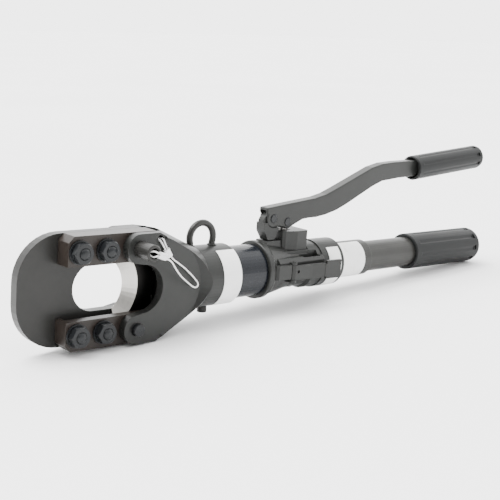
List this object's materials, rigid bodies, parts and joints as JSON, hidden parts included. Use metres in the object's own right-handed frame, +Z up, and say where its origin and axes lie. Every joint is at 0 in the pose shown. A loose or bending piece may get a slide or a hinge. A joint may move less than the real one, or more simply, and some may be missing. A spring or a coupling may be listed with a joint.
{
  "type": "hydraulic rescue cutter",
  "caption": "Hand-operated hydraulic rescue cutter with an open yoke, a sliding concave blade, a pump handle and a fixed handle.",
  "frame": {"origin": "middle of the bounding box in plan, on the plane of the lower guide bar's underside", "axes": "+X runs along the tool from the yoke to the grips, +Z points up towards the pump handle, -Y is the side with the guide bars, the lock pin and the release lever"},
  "size_m": [0.627, 0.0765, 0.1746],
  "materials": {
    "dark_casting": "dark grey baked coating, satin",
    "black_oxide": "black oxide steel, satin",
    "guide_steel": "browned steel, satin",
    "fastener_steel": "blackened steel, semi-gloss",
    "bright_steel": "ground steel",
    "blade_steel": "ground tool steel",
    "navy_paint": "dark blue-grey gloss coating",
    "tube_paint": "mid grey coating, satin",
    "grip_rubber": "matt moulded rubber",
    "seal_rubber": "smooth rubber",
    "label_film": "plain white film",
    "wire_rope": "bright wire with a clear sleeve",
    "gland_bronze": "machined bronze"
  },
  "bodies": {
    "root": {"collar_label": "label_film", "cylinder_barrel": "navy_paint", "fixed_grip": "grip_rubber", "fixed_handle_tube": "tube_paint", "fork_head": "dark_casting", "guide_bar_lower": "guide_steel", "guide_bar_upper": "guide_steel", "guide_bolt_1": "fastener_steel", "guide_bolt_2": "fastener_steel", "guide_bolt_3": "fastener_steel", "guide_bolt_4": "fastener_steel", "guide_nut_1": "fastener_steel", "guide_nut_2": "fastener_steel", "guide_nut_3": "fastener_steel", "guide_nut_4": "fastener_steel", "guide_washer_1": "fastener_steel", "guide_washer_2": "fastener_steel", "guide_washer_3": "fastener_steel", "guide_washer_4": "fastener_steel", "head_label": "label_film", "hinge_pin": "fastener_steel", "hinge_pin_ring": "fastener_steel", "inlet_check_cartridge": "fastener_steel", "lanyard": "wire_rope", "lanyard_crimp_1": "wire_rope", "lever_pin": "fastener_steel", "lifting_eye": "black_oxide", "link_pivot_pin": "fastener_steel", "outlet_check_cartridge": "fastener_steel", "plunger_gland": "black_oxide", "pump_body": "dark_casting", "ram_return_spring": "bright_steel", "release_spring": "bright_steel", "relief_plug": "fastener_steel", "reservoir_bladder": "seal_rubber", "reservoir_collar": "tube_paint", "reservoir_label": "label_film", "reservoir_shell": "dark_casting", "rod_gland": "gland_bronze", "stop_screw": "black_oxide", "yoke_plate": "black_oxide"},
    "ram": {"ram": "bright_steel", "piston_seal": "seal_rubber", "blade_pin": "bright_steel", "blade": "blade_steel"},
    "lock_pin": {"lock_pin": "black_oxide", "lanyard_crimp_2": "wire_rope"},
    "link": {"handle_link": "dark_casting", "handle_pin": "fastener_steel"},
    "handle": {"pump_handle": "dark_casting", "plunger_pin": "fastener_steel", "pump_grip": "grip_rubber"},
    "plunger": {"pump_plunger": "bright_steel"},
    "release_lever": {"release_lever": "dark_casting"},
    "release_valve": {"release_spindle": "bright_steel"}
  },
  "joints": [
    {"name": "ram_stroke", "type": "slide", "parent": "root", "child": "ram", "axis": [-1, 0, 0], "range_m": [0, 0.052], "deforming": ["ram_return_spring"]},
    {"name": "lock_pin_pull", "type": "slide", "parent": "root", "child": "lock_pin", "axis": [0, -1, 0], "range_m": [0, 0.05], "deforming": ["lanyard"]},
    {"name": "handle_lift", "type": "hinge", "parent": "link", "child": "handle", "pos_m": [-0.0341, 0.0086, 0.1023], "axis": [0, -1, 0], "range_deg": [0, 45]},
    {"name": "link_rock", "type": "hinge", "parent": "root", "child": "link", "pos_m": [-0.0341, 0.0086, 0.0855], "axis": [0, 1, 0], "range_deg": [0, 3.9]},
    {"name": "plunger_stroke", "type": "slide", "parent": "root", "child": "plunger", "axis": [0, 0, 1], "range_m": [0, 0.0134]},
    {"name": "release_press", "type": "hinge", "parent": "root", "child": "release_lever", "pos_m": [-0.0245, -0.0209, 0.0505], "axis": [0, 0, 1], "range_deg": [0, 6], "stiffness_Nm_per_rad": 1, "springref_deg": -8.59},
    {"name": "release_valve_lift", "type": "slide", "parent": "root", "child": "release_valve", "axis": [0, 1, 0], "range_m": [0, 0.0024], "deforming": ["release_spring"]}
  ],
  "couplings": [
    {"joint": "link_rock", "follows": "handle_lift", "ratio": 0.085},
    {"joint": "plunger_stroke", "follows": "handle_lift", "m_per_rad": 0.0169},
    {"joint": "release_valve_lift", "follows": "release_press", "m_per_rad": 0.021}
  ]
}
